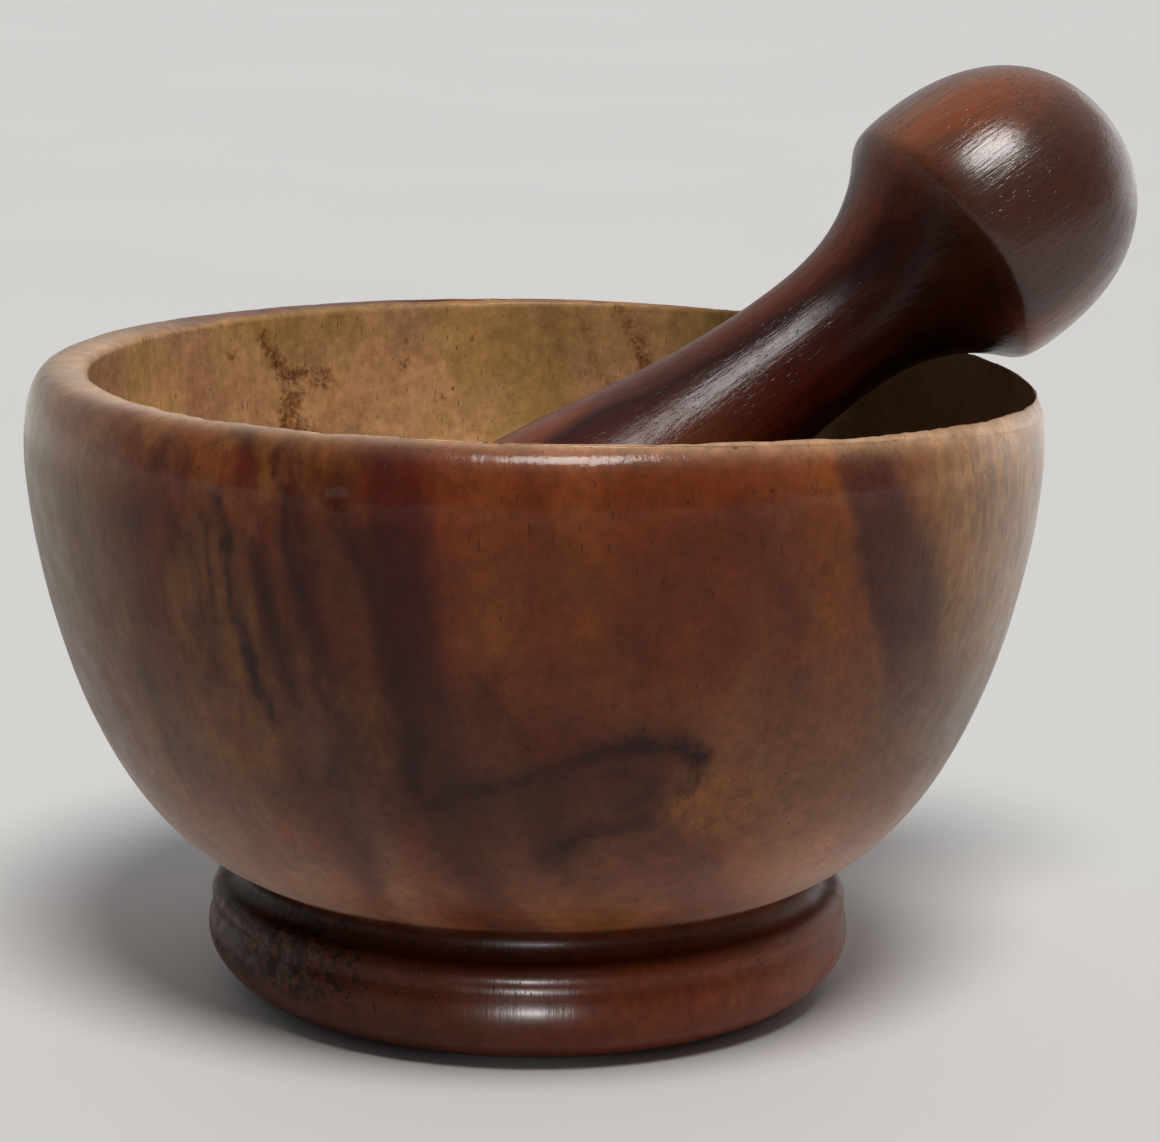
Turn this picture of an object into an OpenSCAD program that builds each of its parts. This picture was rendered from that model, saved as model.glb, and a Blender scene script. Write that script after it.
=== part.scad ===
// Turned wooden mortar with its pestle leaning in it.
// The mortar is one solid piece of wood: foot, cove and bowl are turned from the same blank.
// The pestle is the other piece. It lies loose, its head in the hollow and its neck over the rim.
// Millimetres. Z is up, and the origin is the centre of the mortar's underside.

/* [Bowl] */
// Widest outside diameter of the bowl
bowl_d = 152; // [126:1:190]
// Height of the rim above the table
rim_h = 95.4; // [85:0.2:120]
// Depth of the widest point of the bowl below the rim
shoulder_drop = 11.9; // [8:0.1:16]
// Width of the rounded shoulder, measured in from the widest point
shoulder_w = 5.4; // [3:0.1:9]
// Squareness of the rounded shoulder, where 2 is an ellipse
shoulder_form = 2.5; // [2:0.1:3.2]
// Slope of the bowl's underside where it leaves the neck, in degrees
belly_slope = 23; // [15:1:40]
// Fullness of the bowl's lower side, as a share of its way out from the neck
belly_fullness = 0.79; // [0.5:0.01:0.9]
// Pull of the widest point on the bowl's side below it
side_pull = 9.3; // [4:0.1:20]

/* [Hollow] */
// Wall left at the mouth, measured as if the hollow were central
rim_wall = 5.6; // [5:0.1:10]
// Distance of the hollow's axis from the bowl's axis
hollow_shift = 3.9; // [0:0.1:4]
// Height of the hollow's floor above the table
floor_h = 26.4; // [22:0.1:45]
// Fullness of the hollow, where 2 is a half ellipse
hollow_form = 2.3; // [2:0.05:2.6]
// Rounding of the mouth's inner edge
mouth_round = 2; // [1:0.1:3]

/* [Foot] */
// Largest diameter of the foot ring
foot_d = 97.8; // [81.4:0.2:110]
// Height of the foot ring's widest point
ring_mid_h = 9.3; // [7:0.1:9.5]
// Height of the foot ring, up to the groove
ring_h = 12.1; // [11:0.1:13]
// Upright radius of the foot ring's curve
ring_rise = 9.8; // [9.6:0.1:12]
// How far in from the widest point the foot ring's curve reaches
ring_reach = 14.5; // [8:0.1:18]
// How far in from the foot ring the small bead above the groove lies
bead_in = 0.5; // [0:0.1:0.6]
// Height of the bead, from the groove to the bottom of the cove
bead_h = 4.2; // [3.6:0.1:6]
// Depth of the groove, measured in from the bead
groove_depth = 0.3; // [0.2:0.1:1.4]
// How far in from the foot ring the neck lies, at the bottom of the cove
neck_in = 4.7; // [4.3:0.1:10]
// Radius of the cove between the bead and the bowl
cove_r = 2.2; // [1.5:0.1:3]
// Width of the flat ring that the foot stands on
land_w = 8; // [4:0.5:12]
// Depth of the shallow recess under the foot
recess_depth = 1.5; // [0.5:0.1:3]

/* [Pestle] */
// Diameter of the pounding head
head_d = 38.4; // [32:0.2:46.2]
// Length of the head's full-width part above its round end
head_l = 18.2; // [12:0.1:24]
// Length of the taper from the head to the thinnest point
taper_l = 64; // [52:0.5:80]
// Diameter at the thinnest point
waist_d = 21.7; // [18:0.1:26]
// Length from the thinnest point to the lower edge of the knob
flare_l = 25; // [20:0.1:31]
// Slope of the knob's underside at its edge, in degrees from square
flare_slope = 43; // [25:1:60]
// Largest diameter of the knob
knob_d = 43.8; // [43.2:0.1:53]
// How far in from the widest point the knob's lower edge lies
knob_edge_in = 1.6; // [0.5:0.1:3]
// Height of the knob above its lower edge
knob_h = 33.6; // [28:0.1:41]
// Height of the knob's widest point above its lower edge
knob_mid_h = 7.2; // [5:0.1:9]
// Squareness of the knob's dome, where 2 is an ellipse
knob_form = 2.25; // [2:0.05:2.6]

/* [Resting place] */
// Turn of the leaning pestle about the hollow's axis, in degrees
swing = 21.8; // [0:0.1:60]
// Distance of the head's centre from the hollow's axis
head_out = 26.5; // [18:0.5:32]
// Space left between the head and the hollow
seat_gap = 0.4; // [0.3:0.1:1]
// Space left between the pestle and the rim, square to the pestle
rim_gap = 0.5; // [0.4:0.1:1]

/* [Hidden] */

// Straight pieces in each curved stretch of an outline
steps = 16;
// How far a cutting shape reaches past the surface that it opens
overshoot = 1;
$fn = 144;

bowl_r = bowl_d / 2;
mouth_r = bowl_r - rim_wall;
shoulder_z = rim_h - shoulder_drop;
foot_r = foot_d / 2;
bead_r = foot_r - bead_in;
neck_r = foot_r - neck_in;
land_r = foot_r - ring_reach + ring_reach * cos(asin(ring_mid_h / ring_rise));
recess_r = land_r - land_w;
head_r = head_d / 2;
waist_r = waist_d / 2;
knob_r = knob_d / 2;

// Power that keeps the sign of its base
function signed_pow(base, power) = sign(base) * pow(abs(base), power);

// Stretch of an ellipse, or with a form above 2 of a squarer oval. first = 1 leaves out its first point.
function arc(centre, rx, ry, from, to, form = 2, first = 0) = [
    for (i = [first:steps])
        let (turn = from + (to - from) * i / steps)
        centre + [rx * signed_pow(cos(turn), 2 / form), ry * signed_pow(sin(turn), 2 / form)]
];

// Cubic curve that leaves a towards b and reaches d from c. It leaves out its first point.
function curve(a, b, c, d) = [
    for (i = [1:steps])
        let (t = i / steps, u = 1 - t)
        u * u * u * a + 3 * u * u * t * b + 3 * u * t * t * c + t * t * t * d
];

// Direction at an angle from the outline's outward axis
function heading(angle) = [cos(angle), sin(angle)];

// Outside of the mortar, from the middle of the foot up to the middle of the rim

ring_centre = [foot_r - ring_reach, ring_mid_h];
bead_centre = [neck_r + cove_r, ring_h + bead_h / 2];
bead_w = bead_r - bead_centre.x;
cove_centre = [neck_r + cove_r, ring_h + bead_h + cove_r];
belly_start = cove_centre + cove_r * heading(90 + belly_slope);

foot_side = concat(
    arc(ring_centre, ring_reach, ring_rise,
        -asin(ring_mid_h / ring_rise), asin((ring_h - ring_mid_h) / ring_rise)),
    [[bead_r - groove_depth, ring_h]],
    arc(bead_centre, bead_w, bead_h / 2, -acos(1 - groove_depth / bead_w), 90),
    arc(cove_centre, cove_r, cove_r, 270, 90 + belly_slope, first = 1));

belly_run = belly_fullness * (bowl_r - belly_start.x);

belly_side = curve(belly_start, belly_start + belly_run * [1, tan(belly_slope)],
    [bowl_r, shoulder_z - side_pull], [bowl_r, shoulder_z]);

shoulder_side = arc([bowl_r - shoulder_w, shoulder_z], shoulder_w, shoulder_drop, 0, 90,
    shoulder_form, first = 1);

mortar_outline = concat(
    [[0, recess_depth], [recess_r, recess_depth], [recess_r, 0]],
    foot_side, belly_side, shoulder_side, [[0, rim_h]]);

// Hollow, from the middle of its floor up to past the rim

mouth_z = rim_h - mouth_round;

hollow_side = arc([0, mouth_z], mouth_r, mouth_z - floor_h, -90, 0, hollow_form);

hollow_outline = concat(
    hollow_side,
    arc([mouth_r + mouth_round, mouth_z], mouth_round, mouth_round, 180, 90, first = 1),
    [[mouth_r + mouth_round, rim_h + overshoot], [0, rim_h + overshoot]]);

// Pestle, along its own axis. Its height 0 is the centre of the head's round end.

waist = [waist_r, head_l + taper_l];
knob_edge = [knob_r - knob_edge_in, waist.y + flare_l];
knob_mid = [knob_r, knob_edge.y + knob_mid_h];
// How far each curve runs nearly straight from its end
head_pull = taper_l / 3;
waist_pull = taper_l * 0.4;
throat_pull = flare_l * 0.22;
edge_pull = 1.1;
knob_pull = knob_mid_h * 0.78;
// Where the straight run of the knob's underside would meet the thinnest part
throat = [waist_r, knob_edge.y - (knob_edge.x - waist_r) * tan(flare_slope)];

pestle_side = concat(
    arc([0, 0], head_r, head_r, -90, 0),
    [[head_r, head_l]],
    curve([head_r, head_l], [head_r, head_l + head_pull], waist - [0, waist_pull], waist),
    curve(waist, waist + [0, throat_pull], throat, knob_edge),
    curve(knob_edge, knob_edge + edge_pull * heading(flare_slope), knob_mid - [0, knob_pull], knob_mid),
    arc([0, knob_mid.y], knob_r, knob_h - knob_mid_h, 0, 90, knob_form, first = 1));

// Where the pestle rests, in the upright plane through the hollow's axis that it leans in.
// x is outward from the hollow's axis on the side of the knob, and y is the height.

// The hollow's side at four places along each of its straight runs
seat_points = [
    for (i = [1:len(hollow_side) - 1], share = [0:0.25:0.75])
        hollow_side[i] + (hollow_side[i - 1] - hollow_side[i]) * share
];

// The head's centre is as low as the floor under it lets a ball of the head's size go
seat_r = head_r + seat_gap;
head_rest = [-head_out, max([
    for (p = seat_points)
        if (abs(p.x - head_out) < seat_r) p.y + sqrt(pow(seat_r, 2) - pow(p.x - head_out, 2))])];

// Height of the shoulder at a distance from the bowl's axis
function shoulder_height(r) =
    let (share = max(0, r - bowl_r + shoulder_w) / shoulder_w)
    shoulder_z + shoulder_drop * pow(1 - pow(share, shoulder_form), 1 / shoulder_form);

// The rim in that plane, from the mouth's edge out over the shoulder
rim_out = bowl_r - hollow_shift - mouth_r;
rim_points = [
    for (i = [0:steps])
        let (
            out = mouth_r + rim_out * i / steps,
            r = norm([hollow_shift + out * cos(swing), out * sin(swing)]))
        [out, shoulder_height(r)]
];

pestle_radii = [for (p = pestle_side) [p.y, p.x]];

// Smallest space between the rim and the pestle at a given lean, square to the pestle
function rim_space(lean) = min([
    for (p = rim_points)
        let (
            from_head = p - head_rest,
            along = from_head * heading(lean),
            below = from_head * heading(lean - 90))
        below - lookup(along, pestle_radii)]);

// Lowest lean, in degrees above level, that keeps the rim's gap
function lowest_lean(low, high, halvings) =
    halvings == 0 ? high
    : let (middle = (low + high) / 2)
        rim_space(middle) > rim_gap
            ? lowest_lean(low, middle, halvings - 1)
            : lowest_lean(middle, high, halvings - 1);

lean = lowest_lean(0, 80, 16);

module mortar() {
    color("#7b4a2d")
    difference() {
        rotate_extrude() polygon(mortar_outline);
        translate([hollow_shift, 0, 0]) rotate_extrude() polygon(hollow_outline);
    }
}

module pestle() {
    color("#4e2417")
    translate([hollow_shift, 0, 0])
    rotate([0, 0, swing])
    translate([head_rest.x, 0, head_rest.y])
    rotate([0, 90 - lean, 0])
    rotate_extrude() polygon(pestle_side);
}

mortar();
pestle();
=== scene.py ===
"""Turned wooden mortar with its pestle leaning in it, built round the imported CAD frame."""
import math
import random

import bpy
import numpy as np
from mathutils import Matrix, Vector, noise


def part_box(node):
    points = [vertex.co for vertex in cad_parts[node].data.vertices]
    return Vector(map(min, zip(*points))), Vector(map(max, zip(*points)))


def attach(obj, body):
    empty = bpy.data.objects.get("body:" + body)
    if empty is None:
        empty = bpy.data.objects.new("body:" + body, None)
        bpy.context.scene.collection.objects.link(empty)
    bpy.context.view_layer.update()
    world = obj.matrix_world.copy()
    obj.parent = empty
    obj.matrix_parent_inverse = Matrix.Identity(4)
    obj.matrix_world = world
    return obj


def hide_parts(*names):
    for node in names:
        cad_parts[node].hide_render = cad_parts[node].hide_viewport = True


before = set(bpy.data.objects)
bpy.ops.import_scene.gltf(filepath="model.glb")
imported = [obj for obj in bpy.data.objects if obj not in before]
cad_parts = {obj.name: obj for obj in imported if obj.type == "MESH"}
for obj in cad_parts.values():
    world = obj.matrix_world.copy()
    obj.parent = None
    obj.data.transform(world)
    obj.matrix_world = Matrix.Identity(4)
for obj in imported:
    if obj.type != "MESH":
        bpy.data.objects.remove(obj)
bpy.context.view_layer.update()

# ---------------------------------------------------------------- sizes
# All lengths below are in CAD millimetres; MM turns them into the frame's metres.
mortar_low, mortar_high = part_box("mortar")
BOWL_D = 152.0
MM = (mortar_high.x - mortar_low.x) / BOWL_D
BOWL_R = BOWL_D / 2
RIM_H = (mortar_high.z - mortar_low.z) / MM

# The bowl's shoulder and side, its hollow, its lip, and the foot's ring, bead, cove and underside
SHOULDER_DROP, SHOULDER_W, SHOULDER_FORM = 11.9, 5.4, 2.5
BELLY_SLOPE, BELLY_FULLNESS, SIDE_PULL = math.radians(23), 0.79, 9.3
MOUTH_R, HOLLOW_SHIFT, FLOOR_H, HOLLOW_FORM = 70.4, 3.9, 26.4, 2.3
LIP_ROUND = 1.3
FOOT_R, RING_MID_H, RING_H, RING_RISE, RING_REACH = 48.9, 9.3, 12.1, 9.8, 14.5
BEAD_IN, BEAD_H, GROOVE_DEPTH, NECK_IN, COVE_R = 0.5, 4.2, 0.3, 4.7, 2.2
LAND_W, RECESS_DEPTH = 8.0, 1.5

# The pestle's head, taper and waist, then its flare, then its knob
HEAD_R, HEAD_L, TAPER_L, WAIST_R = 19.2, 18.2, 64.0, 10.85
FLARE_L, FLARE_SLOPE = 25.0, math.radians(43)
KNOB_R, KNOB_EDGE_IN, KNOB_H, KNOB_MID_H, KNOB_FORM = 21.9, 1.6, 33.6, 7.2, 2.25

SHOULDER_Z = RIM_H - SHOULDER_DROP
KNOB_Z = HEAD_L + TAPER_L + FLARE_L  # the knob's lower edge, up the pestle from the head's centre
# How many points go round each skin, and how many rows run up the pestle
AROUND_MORTAR = 448
AROUND_PESTLE = 224
PESTLE_ROWS = 330


# ---------------------------------------------------------------- outlines
def signed_pow(base, power):
    """A power that keeps the sign, for the superellipse arcs."""
    return np.sign(base) * np.abs(base) ** power


def arc(centre, rx, ry, start, end, count, form=2.0):
    """Part of an ellipse between two angles in degrees; a form above 2 squares its corners."""
    turn = np.radians(np.linspace(start, end, count))
    return np.column_stack([
        centre[0] + rx * signed_pow(np.cos(turn), 2 / form),
        centre[1] + ry * signed_pow(np.sin(turn), 2 / form)])


def curve(a, b, c, d, count):
    """A cubic curve from a to d, pulled towards b and c."""
    a, b, c, d = (np.asarray(p, float) for p in (a, b, c, d))
    t = np.linspace(0, 1, count)[:, None]
    u = 1 - t
    return u ** 3 * a + 3 * u * u * t * b + 3 * u * t * t * c + t ** 3 * d


def heading(angle):
    """The unit step in the direction of an angle."""
    return np.array([math.cos(angle), math.sin(angle)])


def foot_outline():
    """From near the middle of the underside, round the foot, up to where the belly starts."""
    land_out = FOOT_R - RING_REACH + RING_REACH * math.sqrt(1 - (RING_MID_H / RING_RISE) ** 2)
    recess_r = land_out - LAND_W
    under = np.column_stack([np.linspace(1.5, recess_r - 0.5, 9), np.full(9, RECESS_DEPTH)])
    step = arc((recess_r - 0.5, RECESS_DEPTH - 0.5), 0.5, 0.5, 90, 0, 3)[1:]
    edge = arc((recess_r + 0.5, 0.5), 0.5, 0.5, 180, 270, 3)
    land = np.column_stack([np.linspace(recess_r + 1.5, land_out - 1, 4), np.zeros(4)])
    ring = arc((FOOT_R - RING_REACH, RING_MID_H), RING_REACH, RING_RISE,
               -math.degrees(math.asin(RING_MID_H / RING_RISE)),
               math.degrees(math.asin((RING_H - RING_MID_H) / RING_RISE)), 22)
    neck_r = FOOT_R - NECK_IN
    bead_c = (neck_r + COVE_R, RING_H + BEAD_H / 2)
    bead_w = FOOT_R - BEAD_IN - bead_c[0]
    bead_from = -math.degrees(math.acos(1 - GROOVE_DEPTH / bead_w))
    bead = arc(bead_c, bead_w, BEAD_H / 2, bead_from, 90, 11)
    cove_c = np.array([neck_r + COVE_R, RING_H + BEAD_H + COVE_R])
    cove = arc(cove_c, COVE_R, COVE_R, 270, 90 + math.degrees(BELLY_SLOPE), 12)[1:]
    start = cove_c + COVE_R * heading(math.pi / 2 + BELLY_SLOPE)
    return np.vstack([under, step, edge, land, ring, bead, cove]), start


def belly_outline(start):
    """From the top of the foot's cove out and up to the shoulder."""
    run = BELLY_FULLNESS * (BOWL_R - start[0])
    return curve(start, start + run * np.array([1, math.tan(BELLY_SLOPE)]),
                 (BOWL_R, SHOULDER_Z - SIDE_PULL), (BOWL_R, SHOULDER_Z), 67)[1:]


def shoulder_height(r):
    """The height of the shoulder's top at a distance from the bowl's axis."""
    share = np.clip((r - BOWL_R + SHOULDER_W) / SHOULDER_W, 0, 1)
    return SHOULDER_Z + SHOULDER_DROP * (1 - share ** SHOULDER_FORM) ** (1 / SHOULDER_FORM)


def pestle_outline():
    """Along the pestle's own axis from the head's tip, which is at -HEAD_R, to the top."""
    waist = np.array([WAIST_R, HEAD_L + TAPER_L])
    edge = np.array([KNOB_R - KNOB_EDGE_IN, waist[1] + FLARE_L])
    middle = np.array([KNOB_R, edge[1] + KNOB_MID_H])
    throat = np.array([WAIST_R, edge[1] - (edge[0] - WAIST_R) * math.tan(FLARE_SLOPE)])
    return np.vstack([
        arc((0, 0), HEAD_R, HEAD_R, -87, 0, 30),
        [[HEAD_R, HEAD_L / 2]],
        curve((HEAD_R, HEAD_L), (HEAD_R, HEAD_L + TAPER_L / 3), waist - (0, TAPER_L * 0.4), waist, 60),
        curve(waist, waist + (0, FLARE_L * 0.22), throat, edge, 34)[1:],
        curve(edge, edge + 1.1 * heading(FLARE_SLOPE), middle - (0, KNOB_MID_H * 0.82), middle, 16)[1:],
        arc((0, middle[1]), KNOB_R, KNOB_H - KNOB_MID_H, 0, 88, 44, KNOB_FORM)[1:]])


# ---------------------------------------------------------------- meshes
def grid_normals(grid):
    """The direction square to the surface at each point, all to the same side of it."""
    across = np.roll(grid, -1, 1) - np.roll(grid, 1, 1)
    along = np.gradient(grid, axis=0)
    n = np.cross(across, along)
    return n / (np.linalg.norm(n, axis=-1, keepdims=True) + 1e-12)


def skin(name, grid, first, last, attributes):
    """A closed turned skin from rows of points, with one point at each end of the axis."""
    rows, around, _ = grid.shape
    points = np.vstack([grid.reshape(-1, 3), [first], [last]]) * MM
    i, j = np.meshgrid(np.arange(rows - 1), np.arange(around), indexing="ij")
    k = (j + 1) % around
    quads = np.stack([
        i * around + j, i * around + k, (i + 1) * around + k, (i + 1) * around + j], -1)
    ring = np.arange(around)
    after = (ring + 1) % around
    bottom, top = rows * around, rows * around + 1
    end = (rows - 1) * around
    faces = quads.reshape(-1, 4).tolist()
    faces += np.column_stack([after, ring, np.full(around, bottom)]).tolist()
    faces += np.column_stack([end + ring, end + after, np.full(around, top)]).tolist()
    mesh = bpy.data.meshes.new(name)
    mesh.from_pydata(points.tolist(), [], faces)
    mesh.validate()
    mesh.polygons.foreach_set("use_smooth", [True] * len(mesh.polygons))
    for label, values in attributes.items():
        layer = mesh.attributes.new(label, "FLOAT", "POINT")
        flat = values.reshape(-1)
        layer.data.foreach_set("value", np.concatenate([flat, [flat[0], flat[-1]]]))
    mesh.update()
    piece = bpy.data.objects.new(name, mesh)
    bpy.context.scene.collection.objects.link(piece)
    return piece


def field(points, scale, seed, octaves=1):
    """Smooth noise at each point, about -1 to 1; scale is its grain in millimetres."""
    shift = Vector((seed * 17.3, seed * 5.1, seed * 9.7))
    flat = points.reshape(-1, 3) / scale
    if octaves == 1:
        values = [noise.noise(Vector(p) + shift) for p in flat]
    else:
        values = [noise.fractal(Vector(p) + shift, 0.6, 2.0, octaves) for p in flat]
    return np.array(values).reshape(points.shape[:-1])


def dents(grid, normals, places):
    """Pushes small rounded dents into the surface: (centre, radius, depth) each."""
    push = np.zeros(grid.shape[:2])
    for centre, radius, depth in places:
        away = ((grid - centre) ** 2).sum(-1) / radius ** 2
        push = np.maximum(push, depth * np.exp(-away * 1.6))
    return grid - normals * push[..., None]


# Dark streaks and the knot's outline on the outside: the width in millimetres and how dark,
# then places given as the angle from the front, positive to the right, and the height.
STREAKS = (
    (1.2, 0.95, ((-34, 86), (-33, 78), (-32, 70), (-31, 62), (-30, 56))),
    (0.9, 0.90, ((-28, 93), (-26, 88), (-25, 80), (-24, 74))),
    (0.9, 0.80, ((-36, 84), (-35, 76), (-35, 69))),
    (0.9, 0.80, ((-30, 80), (-28, 72), (-27, 64), (-26, 58))),
    (1.6, 0.75, ((-20, 90), (-19, 84), (-17, 79), (-15, 64), (-13, 54), (-13, 46))),
    (1.5, 0.50, ((-38, 80), (-36, 67), (-36, 60))),
    (3.2, 0.50, ((-22, 52), (-23, 38), (-21, 31))),
    (1.2, 0.45, ((-24, 71), (-23, 63), (-22, 56))),
    (1.0, 0.40, ((-5.5, 64), (-1, 53))),
    (2.0, 0.16, ((0, 89), (6, 77), (12, 66))),
    (2.6, 0.22, ((21, 86), (24, 81), (27, 75), (30, 68), (31, 62))),
    (2.6, 0.35, ((-48, 60), (-49, 47))),
    (2.2, 0.40, ((-42, 92), (-43, 86), (-46, 80))),
    (2.0, 0.95, ((2, 50), (7, 53), (12, 54), (17, 54), (19, 52))),
    (1.5, 0.70, ((-12, 45), (-6, 47), (2, 50))),
    (1.2, 0.95, ((19, 52), (19, 47), (15, 44), (12, 42), (8, 41))),
    (2.4, 0.80, ((8, 41), (3.5, 38))),
    (1.0, 0.65, ((9, 50), (14, 49), (14, 46), (11, 45))),
    (2.4, 0.45, ((-10, 36), (-6, 30))),
)

# The same for the hollow's back wall, with the angle from the back: scars, streaks, pits
SCARS = (
    (1.8, 1.0, ((-41.5, 92), (-40, 89), (-36.5, 85), (-31, 83.5))),
    (2.6, 1.0, ((-36, 80.5), (-37, 77), (-35, 75), (-31, 71))),
    (2.0, 0.8, ((11, 94), (13, 90), (15, 84))),
    (1.2, 0.5, ((1, 92), (4, 86), (6, 82))),
    (1.4, 0.6, ((5.5, 93), (8.5, 84), (11, 80))),
    (0.9, 0.9, ((-46.5, 88.5), (-46, 88))),
    (0.7, 0.9, ((-23, 90), (-22.5, 89.5))),
    (0.8, 1.0, ((-18, 88.5), (-17.5, 88))),
    (0.8, 1.0, ((-18.5, 85), (-18, 85))),
    (0.7, 0.9, ((-9, 89), (-8.5, 88.5))),
    (0.8, 0.9, ((-14, 79), (-13.5, 79))),
    (1.4, 0.45, ((-60, 93), (-48, 94.5), (-30, 95), (-10, 95))),
)
FLATTEN_R = 72.0  # the radius that turns an angle round the bowl into a distance


def streaks_at(grid, lines):
    """How dark the streaks are at each point. They run on through the wood to the far side."""
    r = np.hypot(grid[..., 0], grid[..., 1]) + 1e-6
    azimuth = np.arcsin(np.clip(grid[..., 0] / r, -1, 1))
    wander = np.stack([field(grid, 11, 21, 3), field(grid, 11, 22, 3)], -1) * (1.3, 0.9)
    place = np.stack([azimuth * FLATTEN_R, grid[..., 2]], -1) + wander
    dark = np.zeros(grid.shape[:2])
    for width, depth, path in lines:
        path = np.array(path, float)
        path = np.column_stack([np.radians(path[:, 0]) * FLATTEN_R, path[:, 1]])
        away = np.full(grid.shape[:2], 1e9)
        for a, b in zip(path[:-1], path[1:]):
            run = b - a
            t = np.clip(((place - a) @ run) / (run @ run), 0, 1)
            off = place - a - t[..., None] * run
            away = np.minimum(away, np.hypot(off[..., 0], off[..., 1]))
        dark = np.maximum(dark, depth * np.exp(-(away / width) ** 2))
    return dark


def hollow_radius(z):
    """How far the hollow's wall is from the hollow's own axis at a height."""
    return MOUTH_R * (1 - ((RIM_H - z) / (RIM_H - FLOOR_H)) ** HOLLOW_FORM) ** (1 / HOLLOW_FORM)


def hollow_height(r):
    """The height of the hollow's wall at a distance from the hollow's own axis."""
    return RIM_H - (RIM_H - FLOOR_H) * (1 - (r / MOUTH_R) ** HOLLOW_FORM) ** (1 / HOLLOW_FORM)


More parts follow.
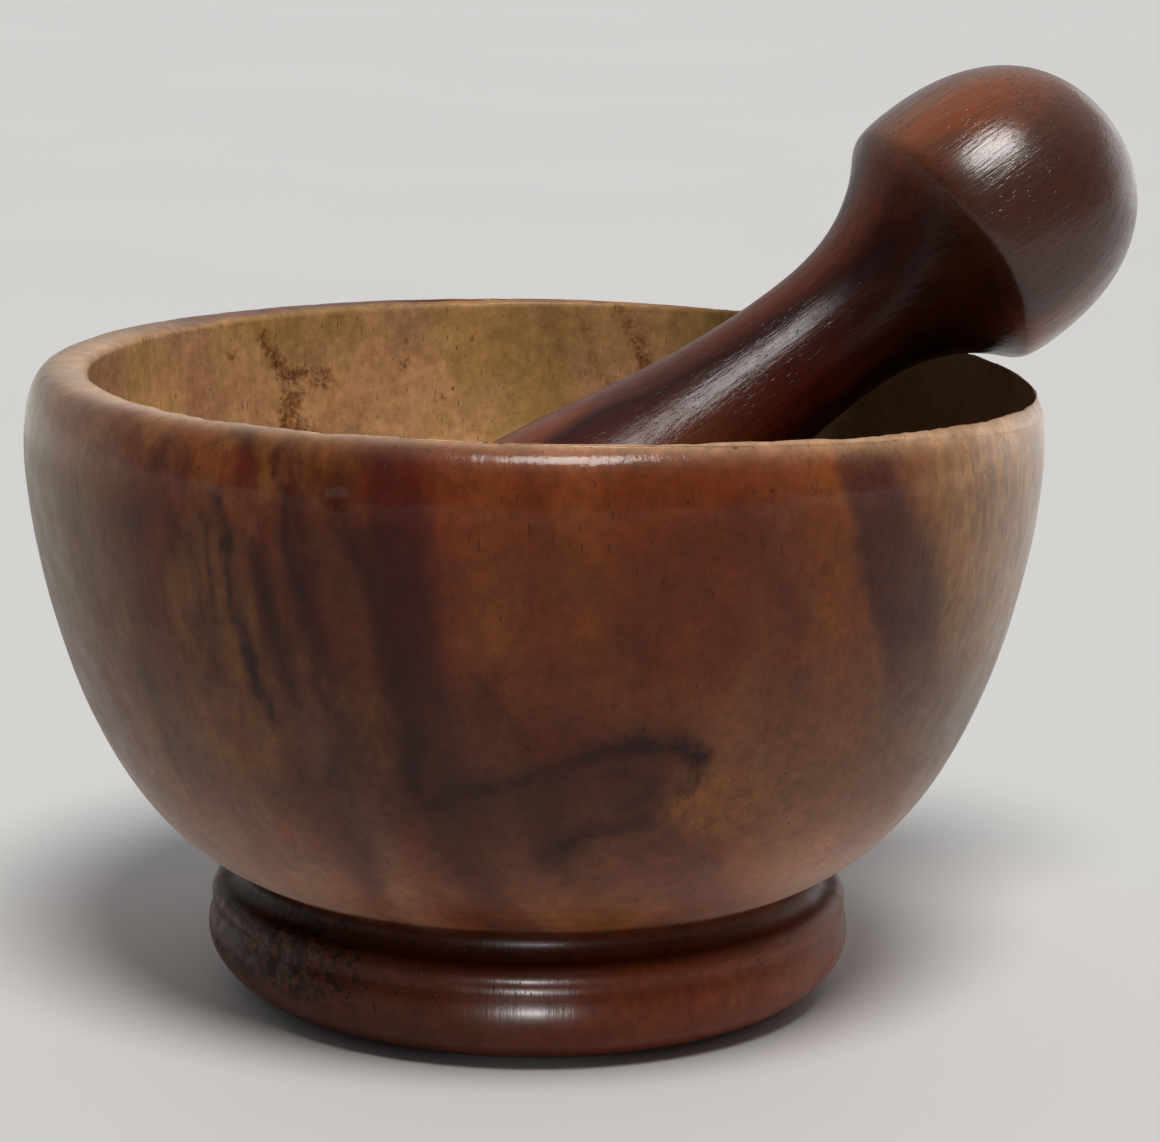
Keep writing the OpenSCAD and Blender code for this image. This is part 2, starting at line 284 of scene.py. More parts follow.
def mortar_piece():
    """The bowl's skin from the middle of its underside, over the lip, to the hollow's floor."""
    turn = np.linspace(0, 2 * np.pi, AROUND_MORTAR, endpoint=False)
    cos, sin = np.cos(turn), np.sin(turn)
    foot, belly_start = foot_outline()
    outside = np.vstack([foot, belly_outline(belly_start)])
    rows = [np.column_stack([r * cos, r * sin, np.full(len(turn), z)]) for r, z in outside]
    # The hollow is off the bowl's axis, so the mouth's edge is at a different radius all round.
    edge_r = HOLLOW_SHIFT * cos + np.sqrt(MOUTH_R ** 2 - (HOLLOW_SHIFT * sin) ** 2)
    lip_r = edge_r + LIP_ROUND
    lip_share = np.clip((lip_r - BOWL_R + SHOULDER_W) / SHOULDER_W, 0, 1)
    full = np.arccos(lip_share ** (SHOULDER_FORM / 2))
    for share in np.linspace(0, 1, 25)[1:]:
        t = np.maximum(full * share, 1e-9)
        r = BOWL_R - SHOULDER_W + SHOULDER_W * np.abs(np.cos(t)) ** (2 / SHOULDER_FORM)
        z = SHOULDER_Z + SHOULDER_DROP * np.abs(np.sin(t)) ** (2 / SHOULDER_FORM)
        rows.append(np.column_stack([r * cos, r * sin, z]))
    last_r = np.hypot(rows[-1][:, 0], rows[-1][:, 1])
    for share in (0.25, 0.5, 0.75, 1.0):
        r = last_r + (lip_r - last_r) * share
        rows.append(np.column_stack([r * cos, r * sin, shoulder_height(r)]))
    outer_rows = len(rows)
    before = rows[-1]
    corner = np.column_stack([edge_r * cos, edge_r * sin, shoulder_height(edge_r)])
    inward = np.arctan2(corner[:, 1], corner[:, 0] - HOLLOW_SHIFT)
    top_z = corner[:, 2] - LIP_ROUND
    below = np.column_stack([
        HOLLOW_SHIFT + MOUTH_R * np.cos(inward), MOUTH_R * np.sin(inward), top_z])
    for t in np.linspace(0, 1, 9)[1:]:
        rows.append((1 - t) ** 2 * before + 2 * t * (1 - t) * corner + t * t * below)
    for t in np.radians(np.linspace(0, 88.6, 62))[1:]:
        r = MOUTH_R * math.cos(t) ** (2 / HOLLOW_FORM)
        z = top_z - (top_z - FLOOR_H) * math.sin(t) ** (2 / HOLLOW_FORM)
        rows.append(np.column_stack([HOLLOW_SHIFT + r * np.cos(inward), r * np.sin(inward), z]))
    grid = np.array(rows)

    # Which rows are in the hollow, and how near each is to the lip's crest
    past_lip = np.arange(len(grid))[:, None] + np.zeros((1, AROUND_MORTAR)) - outer_rows
    inside = np.clip((past_lip + 1) / 7, 0, 1)
    crest = np.exp(-((past_lip + 1) / 7.0) ** 2)
    # The worn lip is a little higher at the right, where the wall is thinnest.
    near_lip = np.exp(-((past_lip - 2) / 9.0) ** 2)
    grid[..., 2] += near_lip * (0.010 * grid[..., 0] - 0.004 * grid[..., 1])

    # A row of the belly tells which way the normals point; they are all to point out
    normals = grid_normals(grid)
    belly_row = len(foot) + 30
    away = (normals[belly_row] * np.column_stack([cos, sin, cos * 0])).sum(-1).mean()
    normals *= np.sign(away)
    # Hand turning leaves the surface a little uneven, but the foot stands flat
    wobble = 0.16 * field(grid, 34, 1) + 0.05 * field(grid, 9, 2)
    hold = np.clip(grid[..., 2] / 4, 0, 1)
    grid = grid + normals * (wobble * hold)[..., None]
    # Wear along the mouth's edge
    wear = near_lip * np.clip(field(grid, 7, 3, 3), -1, 0.2)
    grid = grid + normals * (0.35 * wear)[..., None]

    rng = random.Random(11)
    places = []

    def spot(azimuth, z, radius, depth):
        """A dent on the outside at an angle from the front, positive to the right."""
        a = math.radians(azimuth)
        r = float(np.interp(z, outside[len(foot):, 1], outside[len(foot):, 0]))
        if z < belly_start[1]:
            r = FOOT_R
        places.append((np.array([r * math.sin(a), -r * math.cos(a), z]), radius, depth))

    for _ in range(70):  # the rough patch low on the left of the foot
        spot(rng.gauss(-52, 14), rng.uniform(2, 17), rng.uniform(0.7, 1.5), rng.uniform(0.15, 0.55))
    for _ in range(46):  # a few round the rest of the foot
        spot(rng.uniform(60, 330), rng.uniform(2, 17), rng.uniform(0.7, 1.2), rng.uniform(0.1, 0.3))
    for _ in range(60):  # shallow ones all over the belly
        azimuth, z = rng.uniform(-180, 180), rng.uniform(24, 84)
        spot(azimuth, z, rng.uniform(0.6, 1.0), rng.uniform(0.06, 0.2))
    spot(-20.0, 88, 1.1, 0.5)  # the nick high on the left of the front
    for _ in range(60):  # the rough scars on the hollow's back wall
        a, z = math.radians(rng.gauss(-36, 3.5)), rng.uniform(72, 92)
        r = hollow_radius(z)
        places.append((np.array([HOLLOW_SHIFT + r * math.sin(a), r * math.cos(a), z]),
                       rng.uniform(0.8, 1.5), rng.uniform(0.1, 0.35)))
    for _ in range(44):  # pits left in the hollow by the pestle
        a, r = rng.uniform(0, 2 * math.pi), rng.uniform(40, 66)
        z = hollow_height(r)
        places.append((np.array([HOLLOW_SHIFT + r * math.cos(a), r * math.sin(a), z]),
                       rng.uniform(0.8, 1.6), rng.uniform(0.15, 0.5)))
    grid = dents(grid, normals, places)

    first = (0, 0, RECESS_DEPTH)
    last = (HOLLOW_SHIFT, 0, FLOOR_H)
    piece = skin("mortar_wood", grid, first, last, {
        "inside": inside, "crest": crest, "streak": streaks_at(grid, STREAKS) * (1 - inside),
        "scar": streaks_at(grid, SCARS) * inside * (grid[..., 1] > 0)})
    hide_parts("mortar")
    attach(piece, "mortar")
    return piece


def pestle_place():
    """The head's centre and the axis of the CAD pestle, from its own points."""
    points = np.array([v.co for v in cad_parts["pestle"].data.vertices], float) / MM
    middle = points.mean(0)
    _, _, axes = np.linalg.svd(points - middle, full_matrices=False)
    axis = axes[0] * np.sign(axes[0][2])
    # Each turn of the loop corrects the axis from the middles of a low and a high stretch
    for _ in range(4):
        side = np.cross(axis, [0, 0, 1.0])
        side /= np.linalg.norm(side)
        up = np.cross(side, axis)
        along = points @ axis
        ends = []
        for low, high in ((0.05, 0.2), (0.76, 0.94)):
            span = along.max() - along.min()
            part = points[(along > along.min() + low * span) & (along < along.min() + high * span)]
            u, v = part @ side, part @ up
            ends.append(side * (u.min() + u.max()) / 2 + up * (v.min() + v.max()) / 2
                        + axis * (along.min() + (low + high) / 2 * span))
        axis = ends[1] - ends[0]
        axis /= np.linalg.norm(axis)
    along = points @ axis
    centre = ends[0] + axis * (along.min() + HEAD_R - ends[0] @ axis)
    return centre, axis


def pestle_piece():
    """The pestle's skin, turned upright and then laid where the CAD has it."""
    centre, axis = pestle_place()
    turn = np.linspace(0, 2 * np.pi, AROUND_PESTLE, endpoint=False)
    outline = pestle_outline()
    step = np.hypot(*np.diff(outline, axis=0).T)
    length = np.concatenate([[0], np.cumsum(step)])
    even = np.linspace(0, length[-1], PESTLE_ROWS)
    # The knob's sharp lower edge keeps its own rows
    edge_at = length[np.argmin(np.abs(outline[:, 1] - KNOB_Z))]
    even = np.sort(np.concatenate([even, edge_at + np.array([-0.3, 0, 0.3])]))
    radius = np.interp(even, length, outline[:, 0])
    height = np.interp(even, length, outline[:, 1])
    grid = np.stack([radius[:, None] * np.cos(turn), radius[:, None] * np.sin(turn),
                     height[:, None] + 0 * turn], -1)
    # A row of the shaft tells which way the normals point; they are all to point out
    normals = grid_normals(grid)
    shaft_row = 200
    away = (normals[shaft_row, :, :2] * grid[shaft_row, :, :2]).sum()
    normals *= np.sign(away)
    stretched = grid * (1, 1, 0.25)
    wobble = 0.10 * field(stretched, 12, 5) + 0.03 * field(stretched, 3, 6)
    grid = grid + normals * wobble[..., None]
    rng = random.Random(5)
    places = []
    for _ in range(70):  # faint dents from use
        z, a = rng.uniform(20, 140), rng.uniform(0, 2 * math.pi)
        r = float(np.interp(z, height, radius))
        places.append((np.array([r * math.cos(a), r * math.sin(a), z]),
                       rng.uniform(0.6, 0.9), rng.uniform(0.01, 0.04)))
    grid = dents(grid, normals, places)
    knob = np.clip((grid[..., 2] - KNOB_Z + 2) / 4, 0, 1)
    tip, top = (0, 0, -HEAD_R), (0, 0, height[-1] + 0.01)
    piece = skin("pestle_wood", grid, tip, top, {"knob": knob})
    z_axis = Vector(axis)
    x_axis = Vector((0, 0, 1)).cross(z_axis).normalized()
    y_axis = z_axis.cross(x_axis)
    turned = Matrix((x_axis, y_axis, z_axis)).transposed().to_4x4()
    piece.data.transform(Matrix.Translation(Vector(centre) * MM) @ turned)
    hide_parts("pestle")
    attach(piece, "pestle")
    return piece, Matrix.Translation(Vector(centre)) @ turned


# ---------------------------------------------------------------- materials
# The faint sheen that the room adds to every dark tone, and the least share of a tone left
# when that sheen is taken off
SHEEN, LEAST_LEFT = 0.009, 0.22
# How much brighter than its tones each part is painted, since the light doesn't reach it fully
OUTSIDE_GAIN, FOOT_GAIN, HOLLOW_GAIN = 1.55, 2.0, 2.2
SHAFT_GAIN, KNOB_GAIN = 1.5, 1.25
# How wide the layers' colour ramps reach across each part
MORTAR_RAMP, PESTLE_RAMP = 160, 50


class Wood:
    """Short names for the shader nodes of one material. Its coordinates are millimetres."""

    def __init__(self, name, placed=None):
        self.material = bpy.data.materials.new(name)
        self.material.use_nodes = True
        self.tree = self.material.node_tree
        self.tree.nodes.clear()
        where = self.put("ShaderNodeTexCoord").outputs["Object"]
        self.place = self.scaled(where, (1 / MM,) * 3)
        if placed is not None:  # the grain runs along a part that lies at a slant
            back = placed.inverted()
            turn = [math.degrees(a) for a in back.to_euler("XYZ")]
            self.place = self.scaled(self.place, (1, 1, 1), tuple(back.translation), turn)
        parts = self.put("ShaderNodeSeparateXYZ", {0: self.place})
        self.x, self.y, self.z = parts.outputs

    def put(self, kind, inputs=None, **settings):
        node = self.tree.nodes.new(kind)
        for key, value in settings.items():
            setattr(node, key, value)
        for key, value in (inputs or {}).items():
            if isinstance(value, bpy.types.NodeSocket):
                self.tree.links.new(value, node.inputs[key])
            else:
                node.inputs[key].default_value = value
        return node

    def scaled(self, vector, scale, move=(0, 0, 0), turn=(0, 0, 0)):
        return self.put("ShaderNodeMapping", {
            "Vector": vector, "Location": move, "Scale": scale,
            "Rotation": tuple(math.radians(a) for a in turn)}).outputs[0]

    def math(self, operation, a, b=0.0, c=0.0):
        return self.put("ShaderNodeMath", {0: a, 1: b, 2: c}, operation=operation).outputs[0]

    def less(self, a, b):
        return self.math("SUBTRACT", a, b)

    def total(self, *terms):
        out = terms[0]
        for term in terms[1:]:
            out = self.math("ADD", out, term)
        return out

    def times(self, a, b):
        return self.math("MULTIPLY", a, b)

    def round_patch(self, centre_x, centre_z, half_w, half_h, wander):
        """Grows from 0 at a patch's middle, through 1 at its outline, to more outside it."""
        across = self.math("DIVIDE", self.total(self.x, -centre_x), half_w)
        up = self.math("DIVIDE", self.total(self.z, -centre_z), half_h)
        return self.total(self.math("POWER", across, 2.0), self.math("POWER", up, 2.0), wander)

    def step(self, value, low, high, out_low=0.0, out_high=1.0):
        """Passes smoothly from one number to another while the value goes from low to high."""
        return self.put("ShaderNodeMapRange", {
            "Value": value, "From Min": low, "From Max": high, "To Min": out_low, "To Max": out_high},
            interpolation_type="SMOOTHSTEP").outputs[0]

    def noise(self, vector, scale, detail=2.0, roughness=0.5):
        return self.put("ShaderNodeTexNoise", {
            "Vector": vector, "Scale": scale, "Detail": detail, "Roughness": roughness}).outputs[0]

    def swing(self, vector, scale, size, detail=2.0):
        """Noise about zero, times size."""
        return self.times(self.less(self.noise(vector, scale, detail), 0.5), 2 * size)

    def ramp(self, value, stops):
        """A colour for each value: (place from 0 to 1, red, green and blue) at each stop."""
        node = self.put("ShaderNodeValToRGB", {0: value})
        elements = node.color_ramp.elements
        while len(elements) < len(stops):
            elements.new(0.5)
        for element, (position, colour) in zip(elements, stops):
            element.position = position
            element.color = (*colour, 1)
        return node.outputs[0]

    def mix(self, share, a, b, blend="MIX"):
        """Goes from colour a to colour b as the share goes from 0 to 1."""
        if isinstance(b, tuple):
            b = (*b, 1)
        node = self.put("ShaderNodeMix", {0: share, 6: a, 7: b}, data_type="RGBA", blend_type=blend)
        return node.outputs[2]

    def multiplied(self, a, b):
        return self.mix(1.0, a, b, "MULTIPLY")

    def attribute(self, name):
        return self.put("ShaderNodeAttribute", attribute_name=name).outputs["Fac"]

    def shades(self, value, stops):
        """The same as a ramp, in greys."""
        return self.ramp(value, [(position, (grey,) * 3) for position, grey in stops])

    def bump(self, height, distance, strength, normal=None):
        inputs = {"Height": height, "Distance": distance * MM, "Strength": strength}
        if normal is not None:
            inputs["Normal"] = normal
        return self.put("ShaderNodeBump", inputs).outputs[0]

    def finish(self, colour, roughness, normal, coat=0.0, coat_roughness=0.15, specular=0.15,
               sheen=0.0):
        shader = self.put("ShaderNodeBsdfPrincipled", {
            "Base Color": colour, "Roughness": roughness, "Normal": normal,
            "Coat Weight": coat, "Coat Roughness": coat_roughness, "Specular IOR Level": specular,
            "Sheen Weight": sheen, "Sheen Roughness": 0.4, "Sheen Tint": (1.0, 0.96, 0.92, 1)})
        self.tree.links.new(normal, shader.inputs["Coat Normal"])
        out = self.put("ShaderNodeOutputMaterial", {"Surface": shader.outputs[0]})
        out.is_active_output = True
        return self.material


def srgb(r, g, b, gain=1.0):
    """A colour by its eye values from 0 to 255, less the faint sheen that the room adds to it."""
    def one(v):
        v = v / 255
        seen = v / 12.92 if v <= 0.04045 else ((v + 0.055) / 1.055) ** 2.4
        return gain * max(seen - SHEEN, seen * LEAST_LEFT)
    return one(r), one(g), one(b)


# The mortar's wood tones, and two pale greys painted as sheen, as sRGB values from 0 to 255
TONES = {
    "olive": (92, 76, 46), "moss": (86, 62, 42), "brown": (72, 40, 26), "umber": (58, 30, 20),
    "bark": (52, 26, 16), "orange": (92, 50, 30), "rust": (82, 42, 28), "rose": (88, 48, 34),
    "amber": (90, 56, 38), "gold": (108, 74, 46), "sapwood": (125, 94, 68),
    "dusk": (70, 43, 34), "plum": (60, 37, 29), "clay": (84, 58, 45), "honey": (100, 66, 47),
    "side_sheen": (100, 78, 62), "bright_side_sheen": (110, 88, 74)}


def mortar_wood():
    w = Wood("mortar_wood_grain")
    inside, crest = w.attribute("inside"), w.attribute("crest")
    outside = w.less(1.0, inside)
    gain = OUTSIDE_GAIN
    # Growth layers stand nearly upright and lean to the right towards the foot.
    drop = w.math("MAXIMUM", w.less(92.0, w.z), 0.0)
    lean = w.times(w.times(drop, drop), -0.004)
    warp = w.total(w.swing(w.scaled(w.place, (1, 1, 0.45)), 0.03, 5.0),
                   w.swing(w.place, 0.12, 1.3, 3.0))
    layer = w.total(w.x, lean, warp)
    fine = w.swing(w.scaled(w.place, (1, 1, 0.06)), 0.55, 1.1, 3.0)
    share = w.math("MULTIPLY_ADD", w.total(layer, fine), 1 / MORTAR_RAMP, 0.5)

    def at(mm):
        return mm / MORTAR_RAMP + 0.5

    # The tones across the upper and the lower belly, by the layer's distance from the middle; the lower
    # belly's two ends are painted pale grey as the room's sheen there
    upper = w.ramp(share, [(at(p), srgb(*TONES[tone], gain)) for p, tone in (
        (-76, "olive"), (-62, "moss"), (-54, "brown"), (-49, "brown"), (-46, "umber"), (-43, "brown"),
        (-39, "brown"), (-37, "bark"), (-35, "brown"), (-32, "bark"), (-29, "brown"), (-25, "brown"),
        (-21, "bark"), (-16, "umber"), (-13, "rust"), (-6, "orange"), (0, "rust"), (7, "orange"),
        (13, "rust"), (20, "rust"), (26, "rust"), (33, "rose"), (38, "orange"), (52, "amber"),
        (58, "gold"), (66, "sapwood"), (79, "sapwood"))])
    lower = w.ramp(share, [(at(p), srgb(*TONES[tone], gain)) for p, tone in (
        (-76, "side_sheen"), (-60, "clay"), (-46, "clay"), (-40, "dusk"), (-36, "clay"), (-30, "dusk"),
        (-25, "plum"), (-19, "plum"), (-13, "dusk"), (-7, "plum"), (0, "dusk"), (5, "dusk"),
        (10, "dusk"), (16, "amber"), (24, "honey"), (32, "honey"), (42, "honey"), (52, "side_sheen"),
        (66, "bright_side_sheen"), (79, "bright_side_sheen"))])
    falling = w.step(w.total(w.z, w.swing(w.place, 0.05, 7.0)), 48, 72)
    heart = w.mix(falling, lower, upper)

    # The dark band before the sapwood
    slow = w.total(w.x, w.times(drop, -0.25),
                   w.swing(w.place, 0.05, 4.0), w.swing(w.place, 0.35, 0.8))
    band = w.times(w.step(slow, 39.5, 42.5), w.step(slow, 52.0, 48.5))
    band = w.times(band, w.step(w.z, 46, 70))
    heart = w.mix(w.times(band, 0.85), heart, srgb(58, 34, 31, gain))

    # Olive and rust patches
    olive = w.step(w.noise(w.scaled(w.place, (1, 1, 0.55)), 0.055, 5.0, 0.6), 0.50, 0.64)
    olive = w.times(olive, w.step(w.x, -10, -30, 0.2, 0.5))
    heart = w.mix(olive, heart, srgb(106, 70, 40, gain))
    rust = w.step(w.noise(w.scaled(w.place, (1, 1, 0.5), (40, 9, 7)), 0.07, 5.0, 0.6), 0.50, 0.66)
    heart = w.mix(w.times(rust, 0.40), heart, srgb(84, 38, 24, gain))

    # Dark streaks, roughened a little, then the red inside the knot and the gold left of it
    rough = w.total(w.noise(w.scaled(w.place, (1, 1, 0.7)), 0.7, 4.0, 0.6),
                    w.noise(w.place, 0.25, 2.0))
    streak = w.times(w.attribute("streak"), w.step(rough, 0.62, 1.25, 0.55, 1.35))
    heart = w.mix(streak, heart, srgb(44, 25, 16, gain))
    front = w.step(w.y, -20, -35)
    knot = w.round_patch(12.0, 47.0, 11.0, 6.5, w.swing(w.place, 0.15, 0.5, 3.0))
    knot = w.times(w.times(w.step(knot, 1.3, 0.6), front), 0.45)
    heart = w.mix(knot, heart, srgb(66, 38, 31, gain))
    gold = w.round_patch(25.5, 45.0, 9.0, 6.0, w.swing(w.place, 0.2, 0.6, 3.0))
    gold_flecks = w.step(w.noise(w.scaled(w.place, (1, 1, 0.3)), 0.8, 3.0, 0.6), 0.36, 0.6, 0.35, 1.0)
    gold = w.times(w.times(w.step(gold, 1.3, 0.3), front), w.times(gold_flecks, 0.62))
    heart = w.mix(gold, heart, srgb(116, 74, 44, gain))

    # Pale sapwood flecks at the right, broken into short slanting strokes
    slant = w.scaled(w.place, (1, 1, 0.25), turn=(0, 28, 0))
    fleck = w.step(w.noise(slant, 0.55, 3.0, 0.6), 0.42, 0.66)
    sap = w.step(layer, 52, 66)
    heart = w.mix(w.times(w.times(fleck, sap), 0.5), heart, srgb(152, 110, 66, gain))
    dark_fleck = w.step(w.noise(slant, 0.9, 2.0), 0.55, 0.68)
    heart = w.mix(w.times(w.times(dark_fleck, sap), 0.5), heart, srgb(84, 60, 44, gain))

    # Inside the hollow the wood is worn pale and tan
    soft = w.scaled(w.place, (1, 1, 0.5))
    tan = w.ramp(w.noise(soft, 0.045, 4.0, 0.6), [(p, srgb(*c, HOLLOW_GAIN)) for p, c in (
        (0.30, (124, 86, 66)), (0.42, (140, 104, 76)), (0.5, (148, 113, 78)),
        (0.58, (136, 106, 66)), (0.72, (146, 110, 66)))])
    # Across the layers the tone changes, and towards the right it is painted darker as the pestle's
    # shade
    layers_and_shade = w.shades(share, [(at(p), grey) for p, grey in (
        (-60, 1.15), (-40, 0.9), (-27, 0.95), (-8, 1.0), (3, 0.68), (20, 0.72), (27, 0.6),
        (36, 0.32), (62, 0.28))])
    tan = w.multiplied(tan, layers_and_shade)
    blotch = w.step(w.noise(w.scaled(w.place, (1, 1, 0.7)), 0.16, 5.0, 0.7), 0.58, 0.70)
    tan = w.mix(w.times(blotch, 0.40), tan, srgb(104, 60, 34, 2.0))
    scar = w.attribute("scar")
    torn = w.step(w.total(w.noise(w.place, 1.2, 5.0, 0.75), w.times(scar, 0.27)), 0.55, 0.83)
    torn = w.times(torn, w.times(w.step(scar, 0.0, 0.7), 0.8))
    tan = w.mix(torn, tan, srgb(82, 42, 27, 1.9))
    # and painted darker at the right, as the shade where the pestle lies
    tan = w.mix(w.times(w.step(w.x, 22, 44), 0.55), tan, srgb(30, 18, 14, 1.5))
    heart = w.mix(inside, heart, tan)
    # The lip is pale where hands and the pestle rub it, most of all on the left and in front
    rub = w.times(crest, w.step(w.total(w.x, w.swing(w.place, 0.08, 30.0)), 80, -50, 0.65, 0.95))
    rub = w.times(rub, w.step(w.y, 50, 0, 0.2, 1.0))
    heart = w.mix(rub, heart, srgb(156, 124, 96, 1.75))

    # The foot is redder and darker, with bark low on its left, and is painted darkest in its cove as
    # shade under the belly
    foot = w.step(w.z, 21.5, 18.5)
    heart = w.mix(w.times(foot, 0.85), heart, w.ramp(share, [
        (0.2, srgb(60, 34, 24, FOOT_GAIN)), (0.38, srgb(78, 40, 29, FOOT_GAIN)),
        (0.5, srgb(90, 47, 34, FOOT_GAIN)), (0.6, srgb(102, 59, 44, FOOT_GAIN)),
        (0.8, srgb(104, 60, 44, 1.9))]))
    bark = w.total(w.noise(w.place, 0.75, 4.0, 0.7), w.step(w.x, -14, -34, -0.16, 0.06),
                   w.step(w.y, 10, -20, -0.3, 0.0))
    bark = w.times(w.step(bark, 0.50, 0.58), w.times(foot, w.step(w.z, 5, 9)))
    heart = w.mix(w.times(bark, 0.8), heart, srgb(22, 14, 9, gain))
    cove_z = RING_H + BEAD_H + COVE_R
    # Painted shade in the cove, under the belly's overhang
    cove_shade = w.less(1.0, w.step(w.math("ABSOLUTE", w.less(w.z, cove_z - 0.1)), 0.6, 2.6))
    heart = w.mix(w.times(w.times(cove_shade, 0.45), outside), heart, srgb(24, 13, 9, gain))

    # Fibres, pores and specks
    fibre = w.noise(w.scaled(w.place, (1, 1, 0.05)), 1.3, 4.0, 0.65)
    heart = w.multiplied(heart, w.shades(fibre, [(0.30, 0.94), (0.5, 1.0), (0.70, 1.05)]))
    # The underside of the belly and the shoulder are painted paler than the side, as light: the floor's
    # bounce below and the lamp's light above
    painted_light = w.times(w.step(w.z, 46, 23, 1.0, 2.3), w.step(w.z, 81, 89, 1.0, 1.32))
    painted_lit = w.put("ShaderNodeVectorMath", {0: heart, "Scale": painted_light}, operation="SCALE").outputs[0]
    heart = w.mix(w.times(w.step(w.z, 20.5, 22), outside), heart, painted_lit)
    cloud = w.shades(w.noise(w.place, 0.11, 6.0, 0.68), [(0.3, 0.78), (0.7, 1.20)])
    heart = w.multiplied(heart, cloud)
    mottle = w.shades(w.noise(w.place, 0.5, 5.0, 0.7), [(0.34, 0.80), (0.66, 1.20)])
    heart = w.multiplied(heart, mottle)
    pore = w.step(w.noise(w.scaled(w.place, (1, 1, 0.14)), 2.6, 1.0), 0.70, 0.76)
    heart = w.mix(w.times(pore, 0.55), heart, srgb(30, 16, 12, gain))
    speck = w.step(w.noise(w.place, 0.9, 1.0), 0.76, 0.80)
    heart = w.mix(w.times(speck, 0.6), heart, srgb(34, 18, 13, gain))

    grain = w.bump(fibre, 0.10, 0.5)
    grain = w.bump(w.less(1.0, pore), 0.12, 0.5, grain)
    uneven = w.bump(w.noise(w.scaled(w.place, (1, 1, 0.5)), 0.22, 3.0), 0.5, 0.25, grain)
    roughness = w.total(w.step(w.noise(w.place, 0.2, 3.0), 0.3, 0.7, 0.34, 0.46),
                        w.times(inside, 0.16))
    # The shoulder is polished, and the belly and foot are duller, least glossy in the cove
    polish = w.times(w.step(w.z, 83, 90), outside)
    in_cove = w.times(w.step(w.z, 16, 19), w.step(w.z, 24, 20))
    coat = w.times(w.step(polish, 0, 1, 0.14, 0.45), w.less(1.0, w.times(in_cove, 0.85)))
    coat_roughness = w.step(polish, 0, 1, 0.32, 0.06)
    specular = w.step(w.z, 19, 23, 0.08, 0.15)
    # A painted sheen lies on the right side, low on the belly at both sides, and high on the left, as
    # the reflection of the pale room there
    right = w.step(w.x, 42, 76, 0.03, 0.36)
    low = w.times(w.step(w.z, 44, 26), w.step(w.math("ABSOLUTE", w.x), 10, 42, 0.0, 0.5))
    high = w.times(w.step(w.z, 50, 80), w.step(w.x, -48, -74, 0.0, 0.22))
    painted_sheen = w.times(w.times(w.total(right, low, high), outside), w.step(w.z, 20, 23))
    return w.finish(heart, roughness, uneven, coat, coat_roughness, specular, sheen=painted_sheen)


def pestle_wood(placed):
    w = Wood("pestle_wood_grain", placed)
    knob = w.attribute("knob")
    gain = SHAFT_GAIN
    warp = w.total(w.swing(w.scaled(w.place, (1, 1, 0.3)), 0.06, 4.0),
                   w.swing(w.place, 0.2, 0.8, 3.0))
    layer = w.total(w.x, warp, w.times(w.z, 0.05))
    fine = w.swing(w.scaled(w.place, (1, 1, 0.05)), 0.8, 1.2, 3.0)
    share = w.math("MULTIPLY_ADD", w.total(layer, fine), 1 / PESTLE_RAMP, 0.45)
    shaft = w.ramp(share, [(p, srgb(*c, gain)) for p, c in (
        (0.00, (70, 38, 28)), (0.12, (56, 29, 22)), (0.2, (84, 46, 32)), (0.3, (62, 31, 23)),
        (0.38, (44, 22, 17)), (0.46, (78, 40, 27)), (0.55, (88, 46, 30)), (0.62, (60, 30, 22)),
        (0.7, (72, 38, 27)), (0.8, (50, 25, 19)), (0.9, (80, 44, 31)), (1.0, (64, 34, 25)))])
    top = w.ramp(share, [(p, srgb(*c, KNOB_GAIN)) for p, c in (
        (0.0, (80, 52, 42)), (0.2, (66, 44, 38)), (0.35, (96, 60, 44)), (0.5, (120, 78, 52)),
        (0.62, (92, 56, 40)), (0.8, (104, 70, 52)), (1.0, (86, 58, 46)))])
    colour = w.mix(w.times(knob, 0.85), shaft, top)
    patch = w.step(w.noise(w.scaled(w.place, (1, 1, 0.35)), 0.05, 3.0), 0.5, 0.68)
    colour = w.mix(w.times(patch, 0.5), colour, srgb(126, 60, 30, gain))
    fibre = w.noise(w.scaled(w.place, (1, 1, 0.05)), 1.5, 4.0, 0.65)
    colour = w.multiplied(colour, w.shades(fibre, [(0.3, 0.74), (0.5, 1.0), (0.7, 1.2)]))
    pore = w.total(w.noise(w.scaled(w.place, (1, 1, 0.2)), 2.4, 1.0), w.times(knob, 0.012))
    pore = w.step(pore, 0.66, 0.72)
    colour = w.mix(w.times(pore, 0.7), colour, srgb(26, 13, 10, gain))
    grain = w.bump(fibre, 0.12, 0.6)
    grain = w.bump(w.less(1.0, pore), 0.05, 0.5, grain)
    uneven = w.bump(w.noise(w.scaled(w.place, (1, 1, 0.3)), 0.3, 3.0), 0.5, 0.3, grain)
    roughness = w.step(w.noise(w.place, 0.25, 3.0), 0.3, 0.7, 0.30, 0.42)
    # The neck is painted dark under the knob as the knob's shade, most of all on its lower side
    waist_z = HEAD_L + TAPER_L
    under = w.times(w.step(w.z, waist_z - 4, waist_z + 14), w.less(1.0, knob))
    under = w.times(under, w.step(w.total(w.x, w.y), 10, -8, 0.2, 0.78))
    colour = w.mix(under, colour, srgb(22, 11, 7, 0.6))
    return w.finish(colour, roughness, uneven, coat=w.step(knob, 0, 1, 0.32, 0.85),
                    coat_roughness=w.step(knob, 0, 1, 0.19, 0.18), specular=0.12)


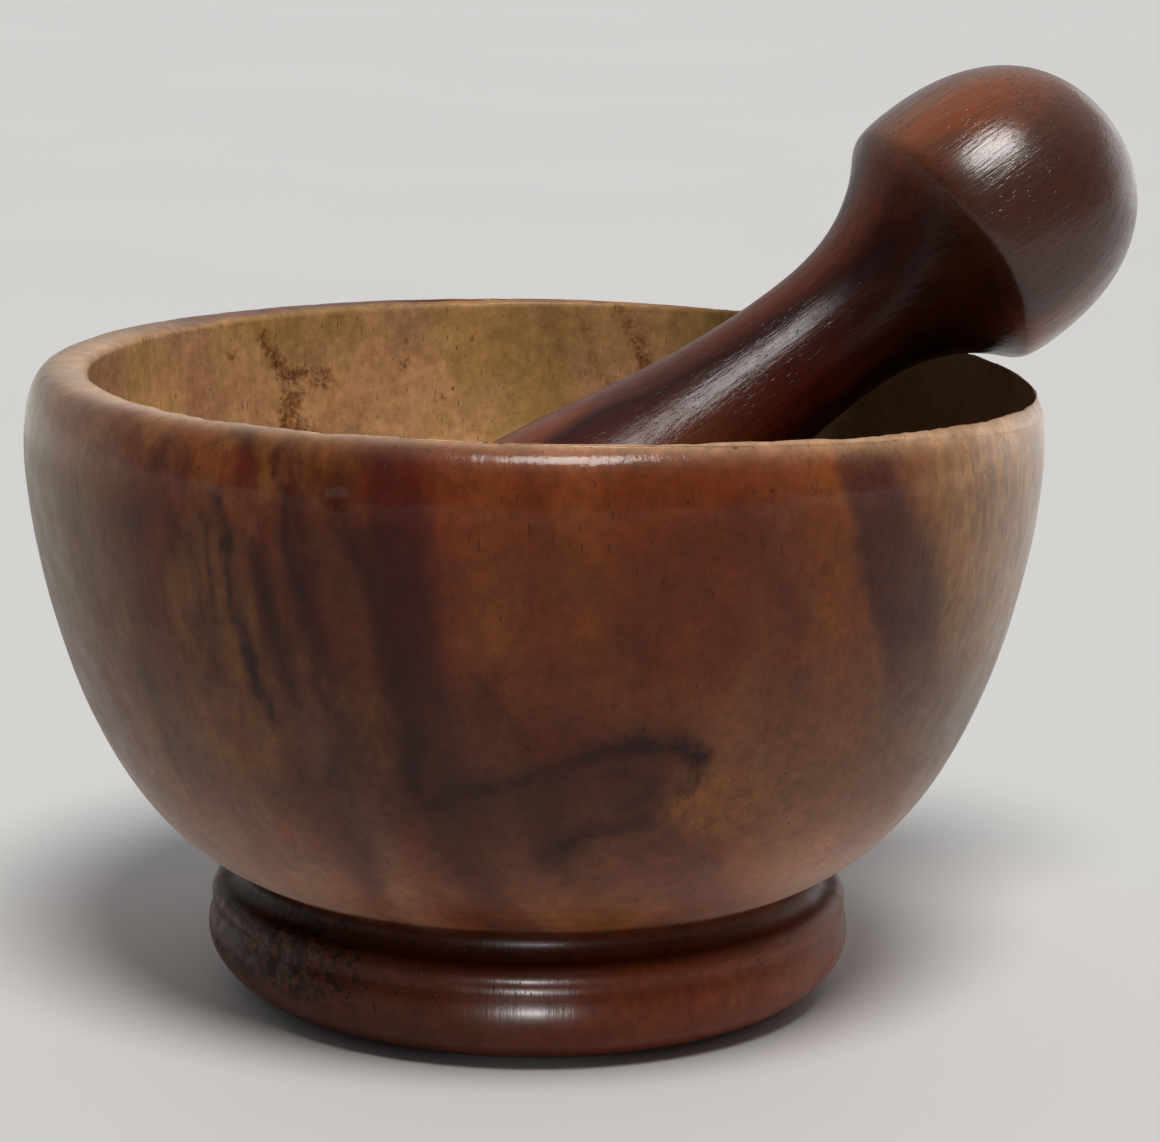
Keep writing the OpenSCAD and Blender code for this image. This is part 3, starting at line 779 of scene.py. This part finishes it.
def floor_paint():
    w = Wood("pale_floor")
    tone = w.noise(w.place, 0.004, 2.0)
    colour = w.ramp(tone, [(0.3, (0.775, 0.77, 0.76)), (0.7, (0.795, 0.79, 0.78))])
    flat = w.bump(w.noise(w.place, 0.05, 2.0), 0.05, 0.2)
    return w.finish(colour, 0.55, flat)


# ---------------------------------------------------------------- stage, light and camera
# In metres
FLOOR_RADIUS, FLOOR_DROP = 9.0, 0.0001


def towards(azimuth, elevation):
    """A unit vector by two angles in degrees. Azimuth 0 is the camera's side, 90 the right."""
    a, e = math.radians(azimuth), math.radians(elevation)
    return Vector((math.sin(a) * math.cos(e), -math.cos(a) * math.cos(e), math.sin(e)))


def stage():
    """A wide floor, just below the foot so that the two faces never lie in one plane."""
    bpy.ops.mesh.primitive_circle_add(
        vertices=96, radius=FLOOR_RADIUS, fill_type="NGON", location=(0, 0, -FLOOR_DROP))
    floor = bpy.context.object
    floor.name = "stage_floor"
    floor.data.materials.append(floor_paint())


def glossy_light(name, azimuth, elevation, distance, size, power, middle=(0, 0, 76)):
    """A lamp aimed at a middle given in millimetres, that shows in gloss but lights no paint."""
    target = Vector(middle) * MM
    away = towards(azimuth, elevation)
    lamp = bpy.data.lights.new(name, "AREA")
    lamp.shape = "RECTANGLE"
    lamp.size, lamp.size_y = size
    lamp.energy = power
    light = bpy.data.objects.new(name, lamp)
    light.location = target + away * distance
    light.rotation_euler = away.to_track_quat("Z", "Y").to_euler()
    light.visible_camera = False
    light.visible_diffuse = False
    bpy.context.scene.collection.objects.link(light)
    return lamp


def lights():
    """A high sun in front, a room that is dim in front and pale behind, and two glossy lamps."""
    world = bpy.data.worlds.new("room")
    world.use_nodes = True
    tree = world.node_tree
    where = tree.nodes.new("ShaderNodeTexCoord")
    parts = tree.nodes.new("ShaderNodeSeparateXYZ")
    tree.links.new(where.outputs["Generated"], parts.inputs[0])
    behind = tree.nodes.new("ShaderNodeMapRange")
    behind.interpolation_type = "SMOOTHSTEP"
    for key, value in {"From Min": -0.4, "From Max": 0.5, "To Min": 0.10, "To Max": 0.42}.items():
        behind.inputs[key].default_value = value
    tree.links.new(parts.outputs["Y"], behind.inputs["Value"])
    sky = tree.nodes["Background"]
    sky.inputs[0].default_value = (0.97, 0.98, 1.0, 1)
    tree.links.new(behind.outputs[0], sky.inputs[1])
    bpy.context.scene.world = world

    key = bpy.data.lights.new("key", "SUN")
    key.energy = 2.2
    key.angle = math.radians(22)
    key.color = (1.0, 0.985, 0.96)
    key_light = bpy.data.objects.new("key", key)
    key_light.rotation_euler = towards(12, 64).to_track_quat("Z", "Y").to_euler()
    bpy.context.scene.collection.objects.link(key_light)
    glossy_light("right_sheen", 135, 8, 1.6, (1.4, 0.8), 2.6)
    # A small one stands for the pale shelf, which glints in the foot's ring and bead
    glint = glossy_light("shelf_glint", 2, -9, 0.05, (0.008, 0.003), 0.0038, (0, -49, 10))
    glint.spread = math.radians(40)


def camera():
    """The photograph's view: its place in the part's millimetres, its angles in degrees."""
    place = Vector((0, -572.5, 183.2)) * MM
    pitch, yaw, roll = (math.radians(a) for a in (11.786, 0.708, 0.974))
    ahead = Vector((
        math.sin(yaw) * math.cos(pitch), math.cos(yaw) * math.cos(pitch), -math.sin(pitch)))
    right = Vector((math.cos(yaw), -math.sin(yaw), 0))
    up = right.cross(ahead)
    right, up = (math.cos(roll) * right + math.sin(roll) * up,
                 math.cos(roll) * up - math.sin(roll) * right)
    lens = bpy.data.cameras.new("camera")
    lens.sensor_width = 36
    lens.sensor_fit = "HORIZONTAL"
    lens.lens = 120.075
    lens.clip_start, lens.clip_end = 0.02, 100
    view = bpy.data.objects.new("camera", lens)
    turned = Matrix((right, up, -ahead)).transposed().to_4x4()
    view.matrix_world = Matrix.Translation(place) @ turned
    bpy.context.scene.collection.objects.link(view)
    bpy.context.scene.camera = view


camera()
stage()
lights()
mortar = mortar_piece()
mortar.data.materials.append(mortar_wood())
pestle, pestle_placed = pestle_piece()
pestle.data.materials.append(pestle_wood(pestle_placed))
bpy.context.scene.view_settings.view_transform = "Standard"
